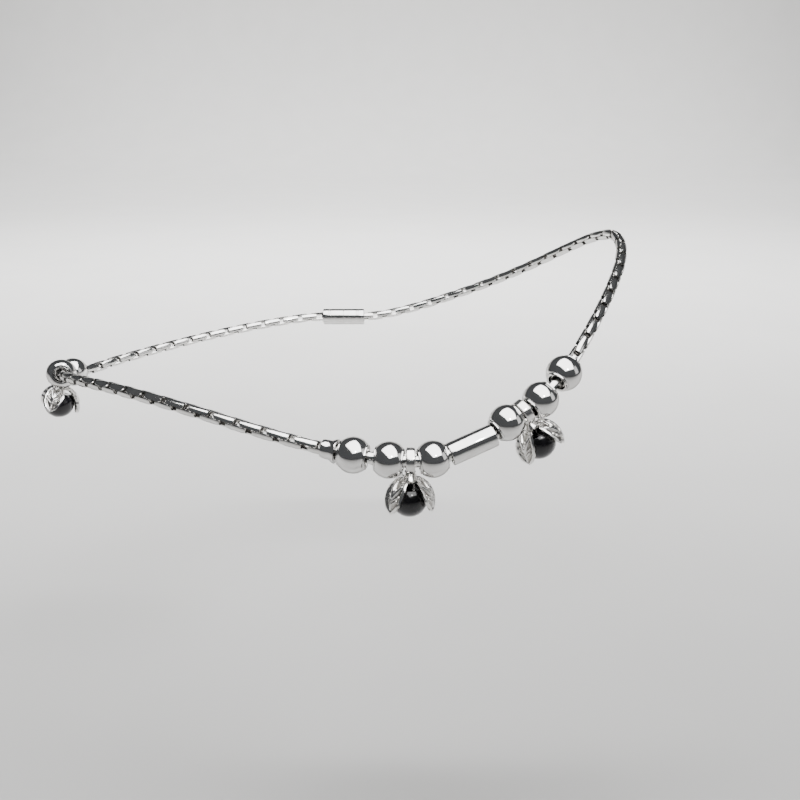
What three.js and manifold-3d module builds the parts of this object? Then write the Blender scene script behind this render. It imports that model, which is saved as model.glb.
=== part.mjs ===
// Payal anklet: a four-faced silver chain threaded through round beads, a tube and three hooded-stone charms.
// Frame: +X towards the toes, -Y the outer side of the ankle, +Z up the leg, origin in the middle of the loop.
import * as THREE from "three";
import { mergeVertices } from "three/addons/utils/BufferGeometryUtils.js";
import Module from "manifold-3d";

// Driving dimensions, millimetres.
const CHAIN_DIAMETER = 1.8;
const CHAIN_STEPS = 78;
const TOUCHING_GAP = 0.4; // between two pieces that lie against each other on the chain

const BEAD = { diameter: 5, length: 3.9, bore: 2.6, rimDiameter: 3.4, rimHeight: 0.22 };
const TUBE = { diameter: 3.2, length: 6.6, bore: 2.6 };
const END_CAP = { narrowDiameter: 2.5, wideDiameter: 3.4, length: 2.1, bore: 2.3 };
const CLASP = { diameter: 3.4, length: 9, bore: 2.4, boreDepth: 2.6, domeHeight: 0.5 };
const BAIL = { innerDiameter: 2.6, outerDiameter: 3.6, width: 1.2 };
const HOOD = { petals: 3, outerRadius: 3.4, innerRadius: 2.8, tipAngle: 112, neckDiameter: 1.5 };
const STONE_DIAMETER = 5;
const STONE_DROP = 5.6; // from the chain's axis to the stone's middle

// The chain's route, from inside one end of the clasp round the heel, the outer side and the instep to the other.
const ROUTE = [
  [-2.2, 36.7, -10.8],
  [-5, 36.65, -10.8],
  [-9, 36.1, -11],
  [-17.5, 33.2, -11.7],
  [-27, 27.7, -12.5],
  [-35.6, 20.2, -13.1],
  [-42.4, 12, -13.4],
  [-45.4, 7.2, -13.5],
  [-46.9, 3.4, -12.9], // second heel bead
  [-47.3, 0, -12], // heel charm
  [-46.5, -3.5, -11.1], // first heel bead
  [-43.6, -8.4, -10],
  [-37.8, -14.6, -8.8],
  [-31.2, -20.2, -8],
  [-24.1, -25.2, -7.8],
  [-16, -29.5, -8.4],
  [-8.3, -32.5, -9.6],
  [-1.2, -34.7, -10.8],
  [3, -35.8, -11.4], // end cap
  [6.2, -36.6, -11.8], // bead 1
  [11, -37.5, -12.1], // bead 2
  [13.8, -37.7, -12.15], // charm 1
  [16.8, -37.5, -12], // bead 3
  [19.1, -37, -11.5],
  [22.1, -36.2, -10.4], // tube
  [25.1, -35.3, -9.3],
  [26.8, -34.6, -8.1], // bead 4
  [28.9, -33.6, -7], // charm 2
  [31.4, -32.3, -5.8], // bead 5
  [35.2, -29.5, -2.7], // bead 6
  [39.3, -23.8, 0.9],
  [42.9, -17.4, 3.7],
  [46.1, -10.8, 6.2],
  [48.8, -4.2, 8.6],
  [50.4, 2.4, 10.5],
  [50.5, 8.8, 11.1],
  [48.8, 15, 9.8],
  [45, 21.4, 6.6],
  [39.4, 27.2, 2.4],
  [32.2, 32, -1.9],
  [23.6, 35.2, -5.8],
  [15.5, 36.6, -8.7],
  [9, 36.9, -10.3],
  [5, 36.75, -10.75],
  [2.2, 36.7, -10.8],
];

// What is strung on the chain. A group starts at its first piece's end, a distance along the chain from the
// clasp; each piece then follows the one before it, with bareChain between them where it isn't touching.
// lift raises a loose piece off the chain's axis. A charm's hood is turned on its bail, and the charm may swing
// away from the ankle or lean along the chain, all in degrees.
const STRUNG_GROUPS = [
  {
    start: 57.7,
    pieces: [
      { kind: "bead", name: "bead_heel_2" },
      { kind: "charm", name: "3", bareChain: 0.6, turn: 25, swing: -14 },
      { kind: "bead", name: "bead_heel_1", bareChain: 0.6 },
    ],
  },
  {
    start: 126.2,
    pieces: [
      { kind: "endCap", name: "end_cap" },
      { kind: "bead", name: "bead_1" },
      { kind: "bead", name: "bead_2", bareChain: 1.05 },
      { kind: "charm", name: "1", bareChain: 0.3, turn: 10, lean: -2 },
      { kind: "bead", name: "bead_3", bareChain: 0.5 },
      { kind: "tube", name: "tube_bead", bareChain: 0.42, lift: -0.1 },
      { kind: "bead", name: "bead_4", bareChain: 0.42, lift: 0.05 },
      { kind: "charm", name: "2", bareChain: 0.3, turn: -9, lean: 8 },
      { kind: "bead", name: "bead_5", bareChain: 0.55 },
      { kind: "bead", name: "bead_6", bareChain: 1.45 },
    ],
  },
];

const silver = { color: 0xe6e4e0, metalness: 1, roughness: 0.12 };
const blackStone = { color: 0x060607, metalness: 0, roughness: 0.04 };

const wasm = await Module();
wasm.setup();

function mesh(name, geometry, look) {
  const made = new THREE.Mesh(geometry, new THREE.MeshStandardMaterial(look));
  made.name = name;
  return made;
}

function toSolid(geometry) {
  const bare = geometry.index ? geometry.toNonIndexed() : geometry.clone();
  bare.deleteAttribute("normal");
  bare.deleteAttribute("uv");
  const merged = mergeVertices(bare, 1e-4);
  return new wasm.Manifold(
    new wasm.Mesh({
      numProp: 3,
      vertProperties: merged.attributes.position.array,
      triVerts: new Uint32Array(merged.index.array),
    }),
  );
}

function toGeometry(solid) {
  const { numProp, vertProperties, triVerts } = solid.getMesh();
  const positions = new THREE.InterleavedBuffer(vertProperties, numProp);
  const geometry = new THREE.BufferGeometry();
  geometry.setAttribute("position", new THREE.InterleavedBufferAttribute(positions, 3, 0));
  geometry.setIndex(new THREE.BufferAttribute(triVerts, 1));
  return geometry.toNonIndexed();
}

// A profile of [radius, height] pairs turned about the Z axis.
function turned(profile, segments) {
  const points = profile.map(([radius, height]) => new THREE.Vector2(radius, height));
  return new THREE.LatheGeometry(points, segments).rotateX(Math.PI / 2);
}

function arc(radius, fromAngle, toAngle, steps) {
  return Array.from({ length: steps + 1 }, (_, i) => {
    const angle = THREE.MathUtils.degToRad(fromAngle + ((toAngle - fromAngle) * i) / steps);
    return [radius * Math.sin(angle), radius * Math.cos(angle)];
  });
}

// A round bead with a flat, thinly raised rim at each end of its bore; its bore lies along Z.
function beadGeometry() {
  const boreRadius = BEAD.bore / 2;
  const rimRadius = BEAD.rimDiameter / 2;
  const halfLength = BEAD.length / 2;
  const shoulder = halfLength - BEAD.rimHeight;
  const poleAngle = THREE.MathUtils.radToDeg(Math.acos(shoulder / (BEAD.diameter / 2)));
  return turned(
    [
      [boreRadius, -halfLength],
      [rimRadius, -halfLength],
      [rimRadius, -shoulder],
      ...arc(BEAD.diameter / 2, 180 - poleAngle, poleAngle, 7),
      [rimRadius, shoulder],
      [rimRadius, halfLength],
      [boreRadius, halfLength],
      [boreRadius, -halfLength],
    ],
    20,
  );
}

function tubeGeometry() {
  const halfLength = TUBE.length / 2;
  return turned(
    [
      [TUBE.bore / 2, -halfLength],
      [TUBE.diameter / 2, -halfLength],
      [TUBE.diameter / 2, halfLength],
      [TUBE.bore / 2, halfLength],
      [TUBE.bore / 2, -halfLength],
    ],
    24,
  );
}

// A flared cone whose wide end meets the first bead.
function endCapGeometry() {
  const halfLength = END_CAP.length / 2;
  return turned(
    [
      [END_CAP.bore / 2, -halfLength],
      [END_CAP.narrowDiameter / 2, -halfLength],
      [END_CAP.wideDiameter / 2, halfLength - 0.4],
      [END_CAP.wideDiameter / 2, halfLength],
      [END_CAP.bore / 2, halfLength],
      [END_CAP.bore / 2, -halfLength],
    ],
    24,
  );
}

// A plain barrel with a blind socket in each end for the chain.
function claspGeometry() {
  const halfLength = CLASP.length / 2;
  const socketFloor = halfLength - CLASP.boreDepth;
  const shoulder = halfLength - CLASP.domeHeight;
  return turned(
    [
      [0, -socketFloor],
      [CLASP.bore / 2, -socketFloor],
      [CLASP.bore / 2, -halfLength],
      [CLASP.diameter / 2 - 0.25, -halfLength],
      [CLASP.diameter / 2, -shoulder],
      [CLASP.diameter / 2, shoulder],
      [CLASP.diameter / 2 - 0.25, halfLength],
      [CLASP.bore / 2, halfLength],
      [CLASP.bore / 2, socketFloor],
      [0, socketFloor],
    ],
    24,
  );
}

// The opening between two petals: a pointed arch, drawn across X with Y up and pushed out along Z.
function petalGapGeometry() {
  const arch = new THREE.Shape();
  arch.moveTo(0, 2.95);
  arch.quadraticCurveTo(1.1, 2.35, 1.4, 1.16);
  arch.quadraticCurveTo(1.65, 0.35, 2.55, -1.2);
  arch.lineTo(3.2, -2);
  arch.lineTo(-3.2, -2);
  arch.lineTo(-2.55, -1.2);
  arch.quadraticCurveTo(-1.65, 0.35, -1.4, 1.16);
  arch.quadraticCurveTo(-1.1, 2.35, 0, 2.95);
  return new THREE.ExtrudeGeometry(arch, { depth: 5, bevelEnabled: false, curveSegments: 5 });
}

// A charm's silver: a band bail round the chain, soldered to a hood of pointed petals. The chain's axis is
// the X axis, and the hood hangs along -Z.
function settingGeometry(turn) {
  let hood = toSolid(
    turned(
      [
        ...arc(HOOD.innerRadius, 0, HOOD.tipAngle, 9),
        ...arc(HOOD.outerRadius, HOOD.tipAngle, 0, 9),
      ],
      24,
    ),
  );
  for (let petal = 0; petal < HOOD.petals; petal++) {
    const gap = petalGapGeometry().rotateX(Math.PI / 2).rotateZ((petal * 2 * Math.PI) / HOOD.petals);
    hood = hood.subtract(toSolid(gap));
  }
  hood = hood.rotate([0, 0, turn]).translate([0, 0, -STONE_DROP]);

  const inner = BAIL.innerDiameter / 2;
  const outer = BAIL.outerDiameter / 2;
  const band = turned(
    [
      [inner, -BAIL.width / 2],
      [outer, -BAIL.width / 2],
      [outer, BAIL.width / 2],
      [inner, BAIL.width / 2],
      [inner, -BAIL.width / 2],
    ],
    24,
  ).rotateY(Math.PI / 2);
  const neckTop = -outer + 0.2;
  const neckBottom = -STONE_DROP + HOOD.innerRadius + 0.2;
  const neck = new THREE.CylinderGeometry(
    HOOD.neckDiameter / 2,
    HOOD.neckDiameter / 2,
    neckTop - neckBottom,
    16,
  )
    .rotateX(Math.PI / 2)
    .translate(0, 0, (neckTop + neckBottom) / 2);
  return toGeometry(hood.add(toSolid(neck)).add(toSolid(band)));
}

function stoneMesh(name) {
  const stone = mesh(name, new THREE.SphereGeometry(STONE_DIAMETER / 2, 20, 12), blackStone);
  stone.rotation.x = Math.PI / 2;
  stone.position.z = -STONE_DROP;
  return stone;
}

function chainMesh(route) {
  const section = new THREE.Shape();
  for (let side = 0; side < 8; side++) {
    const angle = ((side + 0.5) * Math.PI) / 4;
    const point = [Math.cos(angle), Math.sin(angle)].map((part) => (part * CHAIN_DIAMETER) / 2);
    if (side === 0) section.moveTo(...point);
    else section.lineTo(...point);
  }
  const options = { steps: CHAIN_STEPS, bevelEnabled: false, extrudePath: route };
  return mesh("chain", new THREE.ExtrudeGeometry(section, options), silver);
}

// Puts a holder on the chain with its X axis along the chain and its Z axis as nearly upright as that allows.
function placeOnChain(holder, route, distance, lift) {
  const along = route.getTangentAt(distance / route.getLength());
  const up = new THREE.Vector3(0, 0, 1).addScaledVector(along, -along.z).normalize();
  const across = new THREE.Vector3().crossVectors(up, along);
  holder.quaternion.setFromRotationMatrix(new THREE.Matrix4().makeBasis(along, across, up));
  holder.position.copy(route.getPointAt(distance / route.getLength())).addScaledVector(up, lift);
}

function strungHolder(piece) {
  const holder = new THREE.Group();
  if (piece.kind === "charm") {
    holder.add(mesh(`charm_setting_${piece.name}`, settingGeometry(piece.turn), silver));
    holder.add(stoneMesh(`charm_stone_${piece.name}`));
    return holder;
  }
  const shapes = { bead: beadGeometry, tube: tubeGeometry, endCap: endCapGeometry };
  const turnedPiece = mesh(piece.name, shapes[piece.kind](), silver);
  turnedPiece.rotation.y = Math.PI / 2;
  holder.add(turnedPiece);
  return holder;
}

function addStrungGroup(anklet, route, group) {
  const lengths = { bead: BEAD.length, tube: TUBE.length, endCap: END_CAP.length, charm: BAIL.width };
  let distance = group.start;
  group.pieces.forEach((piece, index) => {
    if (index > 0) distance += piece.bareChain ?? TOUCHING_GAP;
    const holder = strungHolder(piece);
    placeOnChain(holder, route, distance + lengths[piece.kind] / 2, piece.lift ?? 0);
    holder.rotateX(THREE.MathUtils.degToRad(piece.swing ?? 0));
    holder.rotateY(THREE.MathUtils.degToRad(-(piece.lean ?? 0)));
    anklet.add(holder);
    distance += lengths[piece.kind];
  });
}

function claspMesh() {
  const clasp = mesh("clasp", claspGeometry(), silver);
  const first = new THREE.Vector3(...ROUTE[0]);
  const last = new THREE.Vector3(...ROUTE[ROUTE.length - 1]);
  clasp.position.addVectors(first, last).multiplyScalar(0.5);
  clasp.rotation.y = Math.PI / 2;
  return clasp;
}

const route = new THREE.CatmullRomCurve3(ROUTE.map((point) => new THREE.Vector3(...point)));
route.arcLengthDivisions = 1200;

const anklet = new THREE.Group();
anklet.add(chainMesh(route), claspMesh());
STRUNG_GROUPS.forEach((group) => addStrungGroup(anklet, route, group));

export default anklet;
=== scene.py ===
import math
import bmesh
import bpy
from mathutils import Matrix, Vector


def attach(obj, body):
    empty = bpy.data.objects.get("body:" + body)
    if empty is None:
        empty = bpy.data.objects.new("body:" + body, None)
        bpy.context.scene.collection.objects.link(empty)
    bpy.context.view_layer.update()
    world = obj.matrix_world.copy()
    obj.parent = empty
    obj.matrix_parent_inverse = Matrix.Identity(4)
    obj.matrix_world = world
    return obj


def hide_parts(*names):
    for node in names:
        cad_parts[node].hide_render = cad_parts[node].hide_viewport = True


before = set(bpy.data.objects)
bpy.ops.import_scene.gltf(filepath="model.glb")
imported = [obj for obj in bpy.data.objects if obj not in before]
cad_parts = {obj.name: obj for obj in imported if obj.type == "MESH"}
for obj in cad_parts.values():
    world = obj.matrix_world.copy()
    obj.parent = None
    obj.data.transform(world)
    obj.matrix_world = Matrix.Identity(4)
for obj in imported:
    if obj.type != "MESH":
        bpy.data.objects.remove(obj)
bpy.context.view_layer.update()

mm = 0.001  # pieces are modelled in millimetres at the origin, then set in place in metres
print("frame loaded:", len(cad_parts), "nodes")


def deselectAll():
    if bpy.context.object and bpy.context.object.mode != "OBJECT":
        bpy.ops.object.mode_set(mode="OBJECT")
    bpy.ops.object.select_all(action="DESELECT")


def makeActive(piece):
    deselectAll()
    piece.select_set(True)
    bpy.context.view_layer.objects.active = piece


def startEdit(piece):
    makeActive(piece)
    bpy.ops.object.mode_set(mode="EDIT")


def endEdit():
    bpy.ops.object.mode_set(mode="OBJECT")


def newPiece(name):
    piece = bpy.context.object
    piece.name = name
    piece.data.name = name
    bpy.ops.object.transform_apply(location=True, rotation=True, scale=True)
    return piece


def pickFaces(piece, test):
    bpy.context.tool_settings.mesh_select_mode = (False, False, True)
    work = bmesh.from_edit_mesh(piece.data)
    for part in list(work.verts) + list(work.edges) + list(work.faces):
        part.select = False
    for face in work.faces:
        if test(face.calc_center_median(), face.normal):
            face.select_set(True)
    bmesh.update_edit_mesh(piece.data)


def pickVerts(piece, test):
    bpy.context.tool_settings.mesh_select_mode = (True, False, False)
    work = bmesh.from_edit_mesh(piece.data)
    for part in list(work.verts) + list(work.edges) + list(work.faces):
        part.select = False
    for vert in work.verts:
        if test(vert.co):
            vert.select_set(True)
    work.select_flush_mode()
    bmesh.update_edit_mesh(piece.data)


weldDistance = 0.0008  # corners nearer than this are one


def cleanUp(distance=0.0005):
    bpy.context.tool_settings.mesh_select_mode = (True, False, False)
    bpy.ops.mesh.select_all(action="SELECT")
    bpy.ops.mesh.remove_doubles(threshold=distance)
    bpy.ops.mesh.normals_make_consistent(inside=False)


def softenEdges(piece, width, sharpness=35, segments=3):
    bevel = piece.modifiers.new("edges", "BEVEL")
    bevel.width = width
    bevel.segments = segments
    bevel.limit_method = "ANGLE"
    bevel.angle_limit = math.radians(sharpness)
    bevel.use_clamp_overlap = True
    makeActive(piece)
    bpy.ops.object.modifier_apply(modifier=bevel.name)
    # where two bevels run into each other they leave faces of no area
    startEdit(piece)
    bpy.context.tool_settings.mesh_select_mode = (True, False, False)
    bpy.ops.mesh.select_all(action="SELECT")
    bpy.ops.mesh.remove_doubles(threshold=weldDistance)
    bpy.ops.mesh.dissolve_degenerate(threshold=weldDistance)
    endEdit()


def shadeSmooth(piece, angle=35):
    makeActive(piece)
    bpy.ops.object.shade_smooth_by_angle(angle=math.radians(angle))


def copyOf(piece, name):
    made = piece.copy()
    made.data = piece.data.copy()
    made.name = name
    made.data.name = name
    bpy.context.scene.collection.objects.link(made)
    return made


def joinPieces(pieces, name):
    deselectAll()
    for piece in pieces:
        piece.select_set(True)
    bpy.context.view_layer.objects.active = pieces[0]
    bpy.ops.object.join()
    made = bpy.context.object
    made.name = name
    made.data.name = name
    return made


def setInPlace(piece, matrix):
    piece.data.transform(Matrix.Scale(mm, 4) @ matrix)
    piece.data.update()


def finishPiece(piece, node, material):
    piece.data.materials.clear()
    piece.data.materials.append(material)
    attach(piece, "root")
    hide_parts(node)


view = {
    "place": (0.0125, -0.1325, 0.031),
    "tilt": 70,    # from looking straight down, in degrees
    "lens": 35,
    "sensor": 36,
    "nearest": 0.002,
    "farthest": 20,
}

cameraData = bpy.data.cameras.new("camera")
cameraData.lens = view["lens"]
cameraData.sensor_width = view["sensor"]
cameraData.clip_start = view["nearest"]
cameraData.clip_end = view["farthest"]
camera = bpy.data.objects.new("camera", cameraData)
camera.location = view["place"]
camera.rotation_euler = (math.radians(view["tilt"]), 0, 0)
bpy.context.scene.collection.objects.link(camera)
bpy.context.scene.camera = camera
print("camera set")


# From inside one end of the clasp round the heel, the outer side and the instep to the other end,
# in millimetres.
route = [
    (-2.2, 36.7, -10.8), (-5, 36.65, -10.8), (-9, 36.1, -11), (-17.5, 33.2, -11.7), (-27, 27.7, -12.5),
    (-35.6, 20.2, -13.1), (-42.4, 12, -13.4), (-45.4, 7.2, -13.5), (-46.9, 3.4, -12.9), (-47.3, 0, -12),
    (-46.5, -3.5, -11.1), (-43.6, -8.4, -10), (-37.8, -14.6, -8.8), (-31.2, -20.2, -8), (-24.1, -25.2, -7.8),
    (-16, -29.5, -8.4), (-8.3, -32.5, -9.6), (-1.2, -34.7, -10.8), (3, -35.8, -11.4), (6.2, -36.6, -11.8),
    (11, -37.5, -12.1), (13.8, -37.7, -12.15), (16.8, -37.5, -12), (19.1, -37, -11.5), (22.1, -36.2, -10.4),
    (25.1, -35.3, -9.3), (26.8, -34.6, -8.1), (28.9, -33.6, -7), (31.4, -32.3, -5.8), (35.2, -29.5, -2.7),
    (39.3, -23.8, 0.9), (42.9, -17.4, 3.7), (46.1, -10.8, 6.2), (48.8, -4.2, 8.6), (50.4, 2.4, 10.5),
    (50.5, 8.8, 11.1), (48.8, 15, 9.8), (45, 21.4, 6.6), (39.4, 27.2, 2.4), (32.2, 32, -1.9),
    (23.6, 35.2, -5.8), (15.5, 36.6, -8.7), (9, 36.9, -10.3), (5, 36.75, -10.75), (2.2, 36.7, -10.8),
]


# A centripetal Catmull-Rom stretch from start to end.
def curveStretch(before, start, end, after):
    gaps = [max((b - a).length, 1e-6) ** 0.5 for a, b in ((before, start), (start, end), (end, after))]
    leave = (start - before) / gaps[0] - (end - before) / (gaps[0] + gaps[1]) + (end - start) / gaps[1]
    arrive = (end - start) / gaps[1] - (after - start) / (gaps[1] + gaps[2]) + (after - end) / gaps[2]
    leave = leave * gaps[1]
    arrive = arrive * gaps[1]

    def at(t):
        square = -3 * start + 3 * end - 2 * leave - arrive
        cube = 2 * start - 2 * end + leave + arrive
        return start + leave * t + square * t ** 2 + cube * t ** 3
    return at


def measureRoute(points, steps=60):
    knots = [Vector(point) for point in points]
    knots = [2 * knots[0] - knots[1]] + knots + [2 * knots[-1] - knots[-2]]
    places = []
    for i in range(len(knots) - 3):
        at = curveStretch(*knots[i:i + 4])
        places += [at(step / steps) for step in range(steps)]
    places.append(knots[-2].copy())
    distances = [0.0]
    for a, b in zip(places, places[1:]):
        distances.append(distances[-1] + (b - a).length)
    return places, distances


routePlaces, routeDistances = measureRoute(route)
routeLength = routeDistances[-1]


def pointAt(distance):
    distance = min(max(distance, 0.0), routeLength)
    low, high = 0, len(routeDistances) - 1
    while high - low > 1:
        middle = (low + high) // 2
        if routeDistances[middle] <= distance:
            low = middle
        else:
            high = middle
    share = (distance - routeDistances[low]) / (routeDistances[high] - routeDistances[low])
    return routePlaces[low].lerp(routePlaces[high], share)


def stationAt(distance, lift=0.0, roll=0.0, reach=0.25):
    along = (pointAt(distance + reach) - pointAt(distance - reach)).normalized()
    up = (Vector((0, 0, 1)) - along * along.z).normalized()
    side = up.cross(along)
    place = Matrix((along, side, up)).transposed().to_4x4()
    place.translation = pointAt(distance) + up * lift
    return place @ Matrix.Rotation(math.radians(roll), 4, "X")


print("route measured:", round(routeLength, 1), "mm")


def nodeMaterial(name):
    material = bpy.data.materials.new(name)
    material.use_nodes = True
    nodes = material.node_tree.nodes
    shader = nodes["Principled BSDF"]
    return material, nodes, material.node_tree.links, shader


def noiseNode(nodes, links, coordinates, scale, detail=3.0, stretch=(1, 1, 1)):
    mapping = nodes.new("ShaderNodeMapping")
    mapping.inputs["Scale"].default_value = stretch
    links.new(coordinates.outputs["Object"], mapping.inputs["Vector"])
    noise = nodes.new("ShaderNodeTexNoise")
    noise.inputs["Scale"].default_value = scale
    noise.inputs["Detail"].default_value = detail
    links.new(mapping.outputs["Vector"], noise.inputs["Vector"])
    return noise


def rangeNode(nodes, links, source, low, high, fromLow=0.3, fromHigh=0.7):
    spread = nodes.new("ShaderNodeMapRange")
    spread.inputs["From Min"].default_value = fromLow
    spread.inputs["From Max"].default_value = fromHigh
    spread.inputs["To Min"].default_value = low
    spread.inputs["To Max"].default_value = high
    links.new(source, spread.inputs["Value"])
    return spread


def mixColor(nodes, links, factor, colorA, colorB):
    mix = nodes.new("ShaderNodeMix")
    mix.data_type = "RGBA"
    links.new(factor, mix.inputs["Factor"])
    for socket, color in (("A", colorA), ("B", colorB)):
        slot = [s for s in mix.inputs if s.name == socket and s.type == "RGBA"][0]
        if isinstance(color, tuple):
            slot.default_value = (*color, 1)
        else:
            links.new(color, slot)
    return [s for s in mix.outputs if s.type == "RGBA"][0]


# "edge" dims the reflection at grazing angles, and the recess colour is tarnish darkened further as painted shade
silverFinish = {
    "polished": {"bright": (0.88, 0.875, 0.865), "dull": (0.78, 0.77, 0.755), "edge": 0.30, "rough": (0.05, 0.12),
                 "dent": 0.10},
    "chain": {"bright": (0.92, 0.915, 0.90), "dull": (0.80, 0.79, 0.77), "edge": 0.45, "rough": (0.08, 0.17),
              "dent": 0.14, "tarnishAndShade": (0.26, 0.25, 0.24)},
    "cast": {"bright": (0.95, 0.94, 0.925), "dull": (0.84, 0.825, 0.80), "edge": 0.45, "rough": (0.10, 0.20),
             "dent": 0.20, "tarnishAndShade": (0.46, 0.445, 0.42)},
}


silverGrain = {
    "patches": 620,        # soft patches a couple of millimetres across
    "scratches": 900,
    "scratchStretch": (1, 9, 9),
    "scratchStrength": 0.06,
    "scratchDepth": 0.00002,
    "dents": 1500,
    "dentDepth": 0.00005,
    "tarnishDulls": 0.12,  # roughness that tarnish adds
}


def makeSilver(name, finish, shaded):
    look = silverFinish[finish]
    material, nodes, links, shader = nodeMaterial(name)
    coordinates = nodes.new("ShaderNodeTexCoord")
    shader.inputs["Metallic"].default_value = 1.0
    shader.inputs["Specular Tint"].default_value = (look["edge"], look["edge"], look["edge"], 1)
    # handling marks: soft patches and hairline scratches
    patches = noiseNode(nodes, links, coordinates, silverGrain["patches"], 4)
    scratches = noiseNode(nodes, links, coordinates, silverGrain["scratches"], 6,
                          silverGrain["scratchStretch"])
    color = mixColor(nodes, links, rangeNode(nodes, links, patches.outputs["Fac"], 0, 1).outputs["Result"],
                     look["bright"], look["dull"])
    rough = rangeNode(nodes, links, patches.outputs["Fac"], look["rough"][0], look["rough"][1])
    roughness = rough.outputs["Result"]
    if shaded:
        # painted shade and tarnish in the hollows: the recesses get a darker colour, where shade falls and
        # polishing doesn't reach
        recessShade = nodes.new("ShaderNodeAttribute")
        recessShade.attribute_name = "recessShade"
        depth = rangeNode(nodes, links, recessShade.outputs["Fac"], 0, 1, 0.1, 1.0)
        color = mixColor(nodes, links, depth.outputs["Result"], color, look["tarnishAndShade"])
        dull = nodes.new("ShaderNodeMath")
        dull.operation = "MULTIPLY_ADD"
        dull.inputs[1].default_value = silverGrain["tarnishDulls"]
        links.new(depth.outputs["Result"], dull.inputs[0])
        links.new(roughness, dull.inputs[2])
        roughness = dull.outputs[0]
    links.new(color, shader.inputs["Base Color"])
    links.new(roughness, shader.inputs["Roughness"])
    dents = noiseNode(nodes, links, coordinates, silverGrain["dents"], 2)
    coarse = nodes.new("ShaderNodeBump")
    coarse.inputs["Strength"].default_value = look["dent"]
    coarse.inputs["Distance"].default_value = silverGrain["dentDepth"]
    links.new(dents.outputs["Fac"], coarse.inputs["Height"])
    fine = nodes.new("ShaderNodeBump")
    fine.inputs["Strength"].default_value = silverGrain["scratchStrength"]
    fine.inputs["Distance"].default_value = silverGrain["scratchDepth"]
    links.new(scratches.outputs["Fac"], fine.inputs["Height"])
    links.new(coarse.outputs["Normal"], fine.inputs["Normal"])
    links.new(fine.outputs["Normal"], shader.inputs["Normal"])
    return material


stoneFinish = {
    "dark": (0.004, 0.004, 0.005),
    "pale": (0.014, 0.013, 0.017),
    "clouds": 800,
    "ior": 1.54,
    "sheen": 0.1,          # the soft gloss under the polish
    "rough": (0.20, 0.30),
    "polish": 0.75,
    "polishRough": 0.03,
    "grain": 2600,
    "grainStrength": 0.04,
    "grainDepth": 0.00002,
}


def makeStoneMaterial():
    look = stoneFinish
    material, nodes, links, shader = nodeMaterial("blackStone")
    coordinates = nodes.new("ShaderNodeTexCoord")
    shader.inputs["IOR"].default_value = look["ior"]
    shader.inputs["Specular IOR Level"].default_value = look["sheen"]
    shader.inputs["Coat Weight"].default_value = look["polish"]
    shader.inputs["Coat Roughness"].default_value = look["polishRough"]
    shader.inputs["Coat IOR"].default_value = look["ior"]
    clouds = noiseNode(nodes, links, coordinates, look["clouds"], 5)
    color = mixColor(nodes, links, rangeNode(nodes, links, clouds.outputs["Fac"], 0, 1).outputs["Result"],
                     look["dark"], look["pale"])
    links.new(color, shader.inputs["Base Color"])
    rough = rangeNode(nodes, links, clouds.outputs["Fac"], look["rough"][0], look["rough"][1])
    links.new(rough.outputs["Result"], shader.inputs["Roughness"])
    grain = noiseNode(nodes, links, coordinates, look["grain"], 3)
    bump = nodes.new("ShaderNodeBump")
    bump.inputs["Strength"].default_value = look["grainStrength"]
    bump.inputs["Distance"].default_value = look["grainDepth"]
    links.new(grain.outputs["Fac"], bump.inputs["Height"])
    links.new(bump.outputs["Normal"], shader.inputs["Normal"])
    return material


floorFinish = {
    "colors": ((0.60, 0.595, 0.585), (0.62, 0.615, 0.605)),
    "mottle": 30,
    "rough": 0.8,
}


def makeFloorMaterial():
    look = floorFinish
    material, nodes, links, shader = nodeMaterial("paleFloor")
    coordinates = nodes.new("ShaderNodeTexCoord")
    mottle = noiseNode(nodes, links, coordinates, look["mottle"], 3)
    color = mixColor(nodes, links, rangeNode(nodes, links, mottle.outputs["Fac"], 0, 1).outputs["Result"],
                     look["colors"][0], look["colors"][1])
    links.new(color, shader.inputs["Base Color"])
    shader.inputs["Roughness"].default_value = look["rough"]
    return material


polishedSilver = makeSilver("polishedSilver", "polished", False)
chainSilver = makeSilver("chainSilver", "chain", True)
castSilver = makeSilver("castSilver", "cast", True)
blackStone = makeStoneMaterial()
paleFloor = makeFloorMaterial()
print("materials made")


chain = {
    "linkLength": 4.08,
    "linkPitch": 2.085,   # from one link to the next, which is turned a quarter
    "crown": 0.90,        # from the chain's axis to the crest of a bar
    "barWidth": 1.16,
    "barBack": 0.40,      # from the axis to the inner face of a bar
    "taper": 0.70,        # length over which a bar narrows before its end
    "taperWidth": 0.70,   # width at the foot of the taper, as a share of the bar's
    "taperHeight": 0.97,
    "endDepth": 0.46,     # how far the rounded end reaches past the bar
    "endWidth": 0.42,     # width of an end, as a share of the bar's
    "shift": 1.38,        # from the chain's end to its first link
    "roll": 30,           # how far a row of bars is turned up from the horizontal
}


def sectionOfBar(values):
    half = values["barWidth"] / 2
    crown = values["crown"]
    return [
        (0.0, crown), (half * 0.66, crown - 0.06), (half, crown - 0.25), (half * 0.86, crown - 0.44),
        (0.0, values["barBack"]),
        (-half * 0.86, crown - 0.44), (-half, crown - 0.25), (-half * 0.66, crown - 0.06),
    ]


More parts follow.
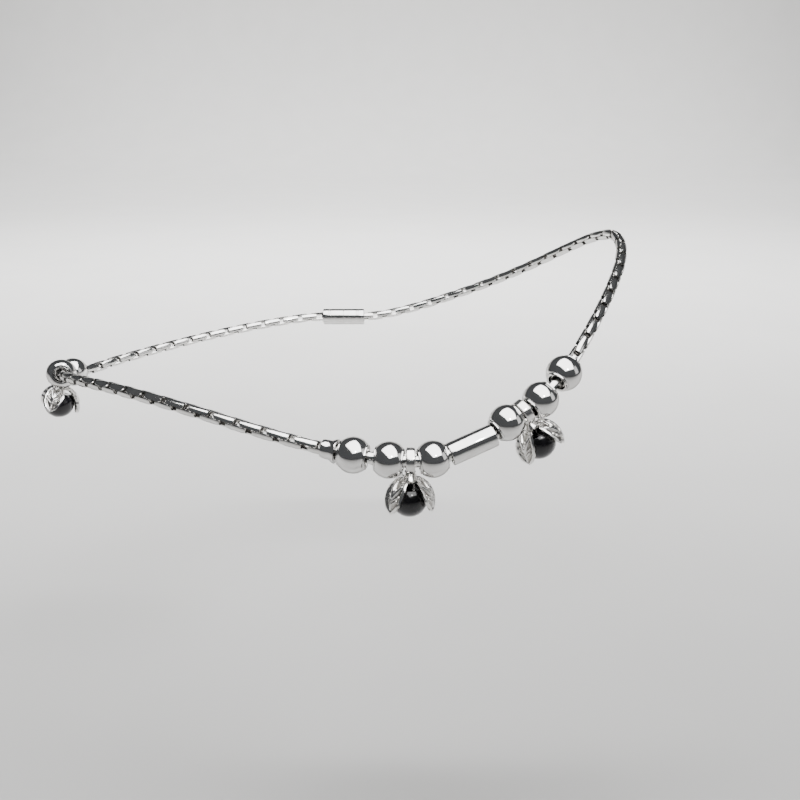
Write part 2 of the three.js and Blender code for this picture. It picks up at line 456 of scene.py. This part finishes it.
def makeLink():
    values = chain
    section = sectionOfBar(values)
    straight = values["linkLength"] / 2 - values["endDepth"]
    middle = straight - values["taper"]
    deselectAll()
    bpy.ops.mesh.primitive_circle_add(vertices=len(section), radius=1, fill_type="NOTHING")
    link = newPiece("chainLink")
    startEdit(link)
    work = bmesh.from_edit_mesh(link.data)
    for vert, (across, high) in zip(work.verts, section):
        vert.co = (straight, across, high)
    bmesh.update_edit_mesh(link.data)
    # round one end, along the under bar, round the other end and back along the upper bar
    spin = {"steps": 5, "angle": math.pi, "axis": (0, 1, 0), "dupli": False}
    bpy.ops.mesh.select_all(action="SELECT")
    for side in (1, -1):
        bpy.ops.mesh.spin(center=(side * straight, 0, 0), **spin)
        for reach in (values["taper"], 2 * middle, values["taper"]):
            bpy.ops.mesh.extrude_region_move(TRANSFORM_OT_translate={"value": (-side * reach, 0, 0)})
    cleanUp()
    # a bar narrows towards its ends, and the ends are flatter than half circles
    for side in (1, -1):
        pickVerts(link, lambda co: co.x * side > straight + 0.01)
        bpy.ops.transform.resize(value=(values["endDepth"] / values["crown"], 1, 1),
                                 center_override=(side * straight, 0, 0))
        pickVerts(link, lambda co: co.x * side > straight + values["endDepth"] * 0.7)
        bpy.ops.transform.resize(value=(1, values["endWidth"] / values["taperWidth"], 1),
                                 center_override=(side * straight, 0, 0))
        pickVerts(link, lambda co: co.x * side > straight - 0.01)
        bpy.ops.transform.resize(value=(1, values["taperWidth"], values["taperHeight"]),
                                 center_override=(side * straight, 0, 0))
    endEdit()
    # painted shade and tarnish: the mask is highest towards the chain's axis and at the link ends, where the
    # links meet, and darkens the colour there
    recessShade = link.data.attributes.new("recessShade", "FLOAT", "POINT")
    for i, vert in enumerate(link.data.vertices):
        inward = 1 - min(1.0, math.hypot(vert.co.y, vert.co.z) / (values["crown"] * 0.86))
        atEnd = max(0.0, abs(vert.co.x) - straight) / values["endDepth"]
        recessShade.data[i].value = min(1.0, 1.6 * inward + 0.35 * atEnd)
    shadeSmooth(link, 48)
    return link


def makeChain():
    link = makeLink()
    room = routeLength - chain["linkLength"]
    count = int(round(room / chain["linkPitch"])) + 1
    pitch = room / (count - 1)
    links = []
    for i in range(count - 1):
        distance = chain["shift"] + chain["linkLength"] / 2 + i * pitch
        made = copyOf(link, "link" + str(i))
        made.data.transform(stationAt(distance, 0, chain["roll"] + 90 * (i % 2), 1.4))
        links.append(made)
    bpy.data.objects.remove(link)
    whole = joinPieces(links, "chainOfLinks")
    setInPlace(whole, Matrix.Identity(4))
    finishPiece(whole, "chain", chainSilver)
    print("chain made:", len(links), "links,", len(whole.data.polygons), "faces")


makeChain()


def boreThrough(piece, halfLength, tolerance=0.01):
    pickFaces(piece, lambda middle, normal: abs(middle.x) > halfLength - tolerance and abs(normal.x) > 0.9
              and math.hypot(middle.y, middle.z) < 0.2)
    bpy.ops.mesh.bridge_edge_loops()


bead = {
    "diameter": 5.0,
    "length": 3.9,
    "bore": 2.6,
    "rimDiameter": 3.4,
    "rimHeight": 0.22,
    "edge": 0.06,
}


def makeBead():
    values = bead
    shoulder = values["length"] / 2 - values["rimHeight"]
    cutRadius = math.sqrt((values["diameter"] / 2) ** 2 - shoulder ** 2)
    deselectAll()
    bpy.ops.mesh.primitive_uv_sphere_add(segments=64, ring_count=48, radius=values["diameter"] / 2,
                                         rotation=(0, math.radians(90), 0))
    ball = newPiece("bead")
    startEdit(ball)
    for side in (1, -1):
        bpy.ops.mesh.select_all(action="SELECT")
        bpy.ops.mesh.bisect(plane_co=(side * shoulder, 0, 0), plane_no=(side, 0, 0), use_fill=True,
                            clear_outer=True)
        pickFaces(ball, lambda middle, normal: middle.x * side > shoulder - 0.001 and abs(normal.x) > 0.95)
        bpy.ops.mesh.inset(thickness=cutRadius - values["rimDiameter"] / 2, depth=0)
        bpy.ops.mesh.extrude_region_move(TRANSFORM_OT_translate={"value": (side * values["rimHeight"], 0, 0)})
        bpy.ops.mesh.inset(thickness=(values["rimDiameter"] - values["bore"]) / 2, depth=0)
    boreThrough(ball, values["length"] / 2)
    cleanUp()
    endEdit()
    softenEdges(ball, values["edge"])
    shadeSmooth(ball, 40)
    return ball


tube = {
    "diameter": 3.2,
    "length": 6.6,
    "bore": 2.6,
    "edge": 0.10,
}


def makeTube():
    values = tube
    deselectAll()
    bpy.ops.mesh.primitive_cylinder_add(vertices=72, radius=values["diameter"] / 2, depth=values["length"],
                                        rotation=(0, math.radians(90), 0))
    barrel = newPiece("tube")
    startEdit(barrel)
    for side in (1, -1):
        pickFaces(barrel, lambda middle, normal: normal.x * side > 0.95)
        bpy.ops.mesh.inset(thickness=(values["diameter"] - values["bore"]) / 2, depth=0)
    boreThrough(barrel, values["length"] / 2)
    cleanUp()
    endEdit()
    softenEdges(barrel, values["edge"])
    shadeSmooth(barrel, 40)
    return barrel


endCap = {
    "narrowDiameter": 2.5,
    "wideDiameter": 3.4,
    "length": 2.1,
    "bore": 2.3,
    # place along the cap, and share of the cone's width there
    "waists": [(-0.55, 0.97), (-0.1, 0.93), (0.35, 0.93)],
    "lip": 0.36,      # from the wide end to the ring that swells
    "lipSwell": 1.05,
    "edge": 0.07,
}


def makeEndCap():
    values = endCap
    half = values["length"] / 2
    deselectAll()
    bpy.ops.mesh.primitive_cone_add(vertices=64, radius1=values["narrowDiameter"] / 2,
                                    radius2=values["wideDiameter"] / 2, depth=values["length"],
                                    rotation=(0, math.radians(90), 0))
    cap = newPiece("endCap")
    startEdit(cap)
    # a trumpet flare: loops cut round the cone are drawn in a little
    for place, share in values["waists"]:
        bpy.ops.mesh.select_all(action="SELECT")
        bpy.ops.mesh.bisect(plane_co=(place, 0, 0), plane_no=(1, 0, 0))
        pickVerts(cap, lambda co: abs(co.x - place) < 0.001)
        bpy.ops.transform.resize(value=(1, share, share), center_override=(place, 0, 0))
    lip = half - values["lip"]
    bpy.ops.mesh.select_all(action="SELECT")
    bpy.ops.mesh.bisect(plane_co=(lip, 0, 0), plane_no=(1, 0, 0))
    pickVerts(cap, lambda co: abs(co.x - lip) < 0.001)
    bpy.ops.transform.resize(value=(1, values["lipSwell"], values["lipSwell"]), center_override=(half, 0, 0))
    for side, radius in ((1, values["wideDiameter"] / 2), (-1, values["narrowDiameter"] / 2)):
        pickFaces(cap, lambda middle, normal: normal.x * side > 0.95 and middle.x * side > half - 0.01)
        bpy.ops.mesh.inset(thickness=radius - values["bore"] / 2, depth=0)
    boreThrough(cap, half)
    cleanUp()
    endEdit()
    softenEdges(cap, values["edge"])
    shadeSmooth(cap, 40)
    return cap


bail = {
    "innerDiameter": 2.6,
    "outerDiameter": 3.6,
    "width": 1.2,
    "edge": 0.16,
}


def makeBail():
    values = bail
    deselectAll()
    bpy.ops.mesh.primitive_cylinder_add(vertices=72, radius=values["outerDiameter"] / 2,
                                        depth=values["width"], rotation=(0, math.radians(90), 0))
    band = newPiece("bail")
    startEdit(band)
    for side in (1, -1):
        pickFaces(band, lambda middle, normal: normal.x * side > 0.95)
        bpy.ops.mesh.inset(thickness=(values["outerDiameter"] - values["innerDiameter"]) / 2, depth=0)
    boreThrough(band, values["width"] / 2)
    cleanUp()
    endEdit()
    softenEdges(band, values["edge"], segments=4)
    return band


hood = {
    "petals": 3,
    "radius": 3.2,         # of the petals' field, about the stone's middle
    "stoneDrop": 5.6,      # from the chain's axis to the stone's middle
    "thickness": 0.5,
    "mesh": (34, 64),      # a petal's columns and rows of faces
    "tipAngle": 112,       # of a petal's point, down from the top, in degrees
    "outline": [           # angle down from the top, half angle of a petal there
        (0, 60), (14, 60), (20, 47), (26, 41), (34, 37.5), (45, 35.5), (56, 34), (68, 31.5),
        (80, 28), (91, 22.5), (100, 15), (107, 8), (112, 0),
    ],
    "rimHeight": 0.26,
    "rimWidth": 0.66,
    "veinHeight": 0.22,
    "veinWidth": 0.36,
    "veinAngles": (34, 70, 100),  # where the V of veins starts, meets and ends, down from the top
    "veinSpread": 0.80,    # half the V's width at its top
    "sideVeins": [         # start and end: across the petal, and down from where the V meets
        ((0.12, 0.42), (0.85, -0.25)), ((0.08, 0.95), (0.72, 0.35)),
    ],
    "hollow": 0.10,
    "notches": 0.07,       # depth of the scallops along a petal's edges
    "notchPitch": 0.95,
    "flare": 0.16,         # how far a petal's point stands off the stone
    "neckDiameter": 1.5,
    "neckInBail": 0.25,    # how deep the neck's ends are soldered in
    "neckInHood": 0.15,
    "neckWaist": 0.84,     # share of the neck's diameter in its middle, and at the hood
    "neckFoot": 1.35,
}


def blendStep(low, high, value):
    share = min(1.0, max(0.0, (value - low) / (high - low)))
    return share * share * (3 - 2 * share)


def petalHalfAngle(down):
    table = hood["outline"]
    for (a, first), (b, second) in zip(table, table[1:]):
        if down <= b:
            return first + (second - first) * (down - a) / (b - a)
    return 0.0


def distanceToLine(point, start, end):
    a = Vector(start)
    line = Vector(end) - a
    share = min(1.0, max(0.0, (Vector(point) - a).dot(line) / line.length_squared))
    return (Vector(point) - a - line * share).length


# How far the cast leaf stands proud of the petal's field: its rim, its V of veins, and the hollows between,
# which lie below it.
def leafRelief(across, down, toEdge):
    radius = hood["radius"]
    here = (abs(across), radius * math.radians(down))
    top, fork, low = (radius * math.radians(angle) for angle in hood["veinAngles"])
    rim = 1 - blendStep(hood["rimWidth"] * 0.4, hood["rimWidth"], toEdge)
    rim *= 0.3 + 0.7 * blendStep(14, 30, down)
    arm = distanceToLine(here, (hood["veinSpread"], top), (0.05, fork))
    stem = distanceToLine(here, (0, fork), (0, low)) + 0.10
    veins = min(arm, stem)
    vein = 1 - blendStep(hood["veinWidth"] * 0.35, hood["veinWidth"], veins)
    side = min(distanceToLine(here, (start[0], fork + start[1]), (end[0], fork + end[1]))
               for start, end in hood["sideVeins"])
    smallVein = 0.6 * (1 - blendStep(0.07, 0.2, side))
    bud = 0.8 * (1 - blendStep(0.10, 0.30, distanceToLine(here, (0, top + 0.95), (0, fork))))
    raised = max(rim * hood["rimHeight"], max(vein, smallVein, bud) * hood["veinHeight"])
    sunk = hood["hollow"] * blendStep(24, 38, down) * (1 - max(rim, vein, smallVein, bud))
    # the second value, how far a point lies in a hollow, marks it for painted shade and tarnish
    return raised * blendStep(8, 24, down) - sunk, min(1.0, sunk / hood["hollow"])


def makePetals():
    columns, rows = hood["mesh"]
    spread = 2 * math.pi / hood["petals"]
    deselectAll()
    bpy.ops.mesh.primitive_grid_add(x_subdivisions=columns, y_subdivisions=rows, size=2)
    petal = newPiece("petal")
    # painted shade and tarnish: the sunk hollows of each leaf are marked for a darker colour
    recessShade = petal.data.attributes.new("recessShade", "FLOAT", "POINT")
    for i, vert in enumerate(petal.data.vertices):
        share = vert.co.x
        down = hood["tipAngle"] * (1 - vert.co.y) / 2
        half = petalHalfAngle(down)
        radius = hood["radius"]
        around = radius * math.sin(math.radians(down))
        edge = math.radians(half) * around
        if down > 30:
            wave = 0.5 - 0.5 * math.cos(2 * math.pi * radius * math.radians(down - 30) / hood["notchPitch"])
            fade = blendStep(30, 44, down) * (1 - blendStep(98, 110, down))
            edge = max(0.0, edge + hood["notches"] * (0.4 - wave) * fade)
        across = share * edge
        turn = across / around if around > 1e-6 else share * math.radians(half)
        proud, deep = leafRelief(across, down, edge - abs(across))
        reach = radius + proud + hood["flare"] * blendStep(60, hood["tipAngle"], down)
        angle = math.radians(down)
        vert.co = (reach * math.sin(angle) * math.sin(turn), -reach * math.sin(angle) * math.cos(turn),
                   reach * math.cos(angle))
        recessShade.data[i].value = deep
    startEdit(petal)
    cleanUp(0.002)
    endEdit()
    petals = [petal]
    for i in range(1, hood["petals"]):
        made = copyOf(petal, "petal" + str(i))
        made.data.transform(Matrix.Rotation(spread * i, 4, "Z"))
        petals.append(made)
    crown = joinPieces(petals, "petals")
    startEdit(crown)
    cleanUp(0.004)
    endEdit()
    wall = crown.modifiers.new("wall", "SOLIDIFY")
    wall.thickness = hood["thickness"]
    wall.offset = -1
    wall.use_even_offset = False
    makeActive(crown)
    bpy.ops.object.modifier_apply(modifier=wall.name)
    return crown


def makeNeck():
    top = -bail["outerDiameter"] / 2 + hood["neckInBail"]
    bottom = -hood["stoneDrop"] + hood["radius"] - hood["neckInHood"]
    middle = (top + bottom) / 2
    deselectAll()
    bpy.ops.mesh.primitive_cylinder_add(vertices=40, radius=hood["neckDiameter"] / 2, depth=top - bottom,
                                        location=(0, 0, middle))
    neck = newPiece("neck")
    startEdit(neck)
    bpy.ops.mesh.select_all(action="SELECT")
    bpy.ops.mesh.bisect(plane_co=(0, 0, middle), plane_no=(0, 0, 1))
    pickVerts(neck, lambda co: abs(co.z - middle) < 0.001)
    bpy.ops.transform.resize(value=(hood["neckWaist"], hood["neckWaist"], 1), center_override=(0, 0, middle))
    pickVerts(neck, lambda co: co.z < bottom + 0.001)
    bpy.ops.transform.resize(value=(hood["neckFoot"], hood["neckFoot"], 1), center_override=(0, 0, bottom))
    endEdit()
    return neck


def makeSetting(turn, name):
    petals = makePetals()
    petals.data.transform(Matrix.Translation((0, 0, -hood["stoneDrop"]))
                          @ Matrix.Rotation(math.radians(turn) + math.pi / hood["petals"], 4, "Z"))
    return joinPieces([petals, makeBail(), makeNeck()], name)


stone = {
    "diameter": 5.0,
    "seat": 1.9,      # height of the flat that is glued into the hood
    "dish": 0.08,     # how far the flat is sunk, inside a rim
    "dishRim": 0.3,
    "edge": 0.12,
}


def makeStone():
    values = stone
    deselectAll()
    bpy.ops.mesh.primitive_uv_sphere_add(segments=64, ring_count=40, radius=values["diameter"] / 2)
    ball = newPiece("stone")
    startEdit(ball)
    bpy.ops.mesh.select_all(action="SELECT")
    bpy.ops.mesh.bisect(plane_co=(0, 0, values["seat"]), plane_no=(0, 0, 1), use_fill=True, clear_outer=True)
    pickFaces(ball, lambda middle, normal: normal.z > 0.95 and middle.z > values["seat"] - 0.01)
    bpy.ops.mesh.inset(thickness=values["dishRim"], depth=0)
    bpy.ops.transform.translate(value=(0, 0, -values["dish"]))
    cleanUp()
    endEdit()
    softenEdges(ball, values["edge"], 35, 3)
    shadeSmooth(ball, 40)
    return ball


# A group starts a distance along the chain, then each piece follows after its own length of bare chain.
# A charm is turned on its bail, may swing away from the ankle, and may lean along the chain, in degrees.
touchingGap = 0.4
strungGroups = [
    {"start": 57.7, "pieces": [
        {"kind": "bead", "node": "bead_heel_2"},
        {"kind": "charm", "node": "3", "bare": 0.6, "turn": 25, "swing": -14},
        {"kind": "bead", "node": "bead_heel_1", "bare": 0.6},
    ]},
    {"start": 126.2, "pieces": [
        {"kind": "endCap", "node": "end_cap"},
        {"kind": "bead", "node": "bead_1"},
        {"kind": "bead", "node": "bead_2", "bare": 1.05},
        {"kind": "charm", "node": "1", "bare": 0.3, "turn": 10, "lean": -2},
        {"kind": "bead", "node": "bead_3", "bare": 0.5},
        {"kind": "tube", "node": "tube_bead", "bare": 0.42, "lift": -0.1},
        {"kind": "bead", "node": "bead_4", "bare": 0.42, "lift": 0.05},
        {"kind": "charm", "node": "2", "bare": 0.3, "turn": -9, "lean": 8},
        {"kind": "bead", "node": "bead_5", "bare": 0.55},
        {"kind": "bead", "node": "bead_6", "bare": 1.45},
    ]},
]
lengths = {"bead": bead["length"], "tube": tube["length"], "endCap": endCap["length"], "charm": bail["width"]}
masters = {"bead": makeBead(), "tube": makeTube(), "endCap": makeEndCap(), "stone": makeStone()}
print("masters made")


def string(piece, distance):
    lift = piece.get("lift", 0.0)
    place = stationAt(distance, lift)
    if piece["kind"] != "charm":
        made = copyOf(masters[piece["kind"]], piece["node"].replace("_", "") + "Silver")
        setInPlace(made, place)
        finishPiece(made, piece["node"], polishedSilver)
        return
    place = place @ Matrix.Rotation(math.radians(piece.get("swing", 0)), 4, "X")
    place = place @ Matrix.Rotation(math.radians(-piece.get("lean", 0)), 4, "Y")
    setting = makeSetting(piece["turn"], "charmSetting" + piece["node"])
    setInPlace(setting, place)
    finishPiece(setting, "charm_setting_" + piece["node"], castSilver)
    shadeSmooth(setting, 45)
    drop = copyOf(masters["stone"], "charmStone" + piece["node"])
    setInPlace(drop, place @ Matrix.Translation((0, 0, -hood["stoneDrop"])))
    finishPiece(drop, "charm_stone_" + piece["node"], blackStone)


for group in strungGroups:
    distance = group["start"]
    for i, piece in enumerate(group["pieces"]):
        if i > 0:
            distance += piece.get("bare", touchingGap)
        string(piece, distance + lengths[piece["kind"]] / 2)
        distance += lengths[piece["kind"]]
for master in masters.values():
    bpy.data.objects.remove(master)
print("beads, tube, end cap and charms strung")


clasp = {
    "diameter": 3.4,
    "length": 9.0,
    "bore": 2.4,
    "boreDepth": 2.6,
    "edge": 0.22,
    # place along the clasp, width and depth: two grips at each end and the seam in the middle
    "grooves": [
        (-3.25, 0.16, 0.07), (-2.85, 0.16, 0.07), (0, 0.16, 0.10), (2.85, 0.16, 0.07), (3.25, 0.16, 0.07),
    ],
}


def makeClasp():
    values = clasp
    half = values["length"] / 2
    radius = values["diameter"] / 2
    deselectAll()
    bpy.ops.mesh.primitive_cylinder_add(vertices=72, radius=radius, depth=values["length"],
                                        rotation=(0, math.radians(90), 0))
    barrel = newPiece("claspBarrel")
    startEdit(barrel)
    for place, width, depth in values["grooves"]:
        for edge in (place - width / 2, place + width / 2):
            bpy.ops.mesh.select_all(action="SELECT")
            bpy.ops.mesh.bisect(plane_co=(edge, 0, 0), plane_no=(1, 0, 0))
    for place, width, depth in values["grooves"]:
        bpy.ops.mesh.select_all(action="SELECT")
        bpy.ops.mesh.bisect(plane_co=(place, 0, 0), plane_no=(1, 0, 0))
        pickVerts(barrel, lambda co: abs(co.x - place) < 0.001)
        share = (radius - depth) / radius
        bpy.ops.transform.resize(value=(1, share, share), center_override=(place, 0, 0))
    for side in (1, -1):
        pickFaces(barrel, lambda middle, normal: normal.x * side > 0.95 and middle.x * side > half - 0.01)
        bpy.ops.mesh.inset(thickness=radius - values["bore"] / 2, depth=0)
        inwards = (-side * values["boreDepth"], 0, 0)
        bpy.ops.mesh.extrude_region_move(TRANSFORM_OT_translate={"value": inwards})
    endEdit()
    softenEdges(barrel, values["edge"], 60, 4)
    shadeSmooth(barrel, 30)
    middle = (Vector(route[0]) + Vector(route[-1])) / 2
    setInPlace(barrel, Matrix.Translation(middle))
    finishPiece(barrel, "clasp", polishedSilver)


makeClasp()
print("clasp made")


studio = {
    "floorHeight": -0.052,
    "floorSize": 6.0,
    "backdropDistance": 1.3,
    "backdropHeight": 0.34,
    "sweep": 0.28,       # radius of the curve between the floor and the backdrop
    "surround": (0.085, 0.088, 0.092),
}


def makeFloor():
    half = studio["floorSize"] / 2
    deselectAll()
    bpy.ops.mesh.primitive_plane_add(size=studio["floorSize"])
    floor = newPiece("floor")
    startEdit(floor)
    pickVerts(floor, lambda co: co.y > 0)
    bpy.ops.transform.translate(value=(0, studio["backdropDistance"] - half, 0))
    bpy.ops.mesh.extrude_region_move(TRANSFORM_OT_translate={"value": (0, 0, studio["backdropHeight"])})
    endEdit()
    softenEdges(floor, studio["sweep"], 30, 12)
    floor.data.transform(Matrix.Translation((0, 0, studio["floorHeight"])))
    shadeSmooth(floor, 40)
    floor.data.materials.append(paleFloor)


floorLampSpread = 120  # degrees
lamps = [
    # softboxes that the metal mirrors
    {"name": "overheadSoftbox", "at": (0.05, -0.09, 0.33), "aim": (0.01, -0.03, 0.0), "size": (0.46, 0.62),
     "radiance": 5.5, "lights": "metal"},
    {"name": "rightCard", "at": (0.48, -0.10, 0.16), "aim": (0, 0, 0), "size": (0.22, 0.30),
     "radiance": 0.9, "lights": "metal"},
    {"name": "sparkle", "at": (0.108, -0.27, 0.23), "aim": (0.014, -0.038, -0.012), "size": (0.03, 0.03),
     "radiance": 70.0, "lights": "metal"},
    # the floor has its own light, which fades towards the front
    {"name": "floorLight", "at": (0.0, 0.24, 0.46), "aim": (0, 0.34, -0.05), "size": (0.7, 0.24),
     "radiance": 14.0, "lights": "floor"},
    {"name": "backdropLight", "at": (0.0, 0.85, 0.75), "aim": (0, 1.1, 0.0), "size": (1.6, 0.6),
     "radiance": 5.0, "lights": "floor"},
    {"name": "frontFill", "at": (-0.25, -0.45, 0.60), "aim": (0, 0, 0), "size": (0.40, 0.30),
     "radiance": 0.6, "lights": "floor"},
]


def addLamps():
    for lamp in lamps:
        light = bpy.data.lights.new(lamp["name"], "AREA")
        light.shape = "RECTANGLE"
        light.size, light.size_y = lamp["size"]
        light.energy = lamp["radiance"] * math.pi * light.size * light.size_y
        made = bpy.data.objects.new(lamp["name"], light)
        made.location = lamp["at"]
        made.rotation_euler = (Vector(lamp["aim"]) - Vector(lamp["at"])).to_track_quat("-Z", "Y").to_euler()
        made.visible_diffuse = lamp["lights"] == "floor"
        made.visible_glossy = lamp["lights"] == "metal"
        if lamp["lights"] == "floor":
            light.spread = math.radians(floorLampSpread)
        bpy.context.scene.collection.objects.link(made)


makeFloor()
addLamps()
world = bpy.data.worlds.new("studioRoom")
world.use_nodes = True
world.node_tree.nodes["Background"].inputs["Color"].default_value = (*studio["surround"], 1)
bpy.context.scene.world = world
deselectAll()
print("floor and light set")
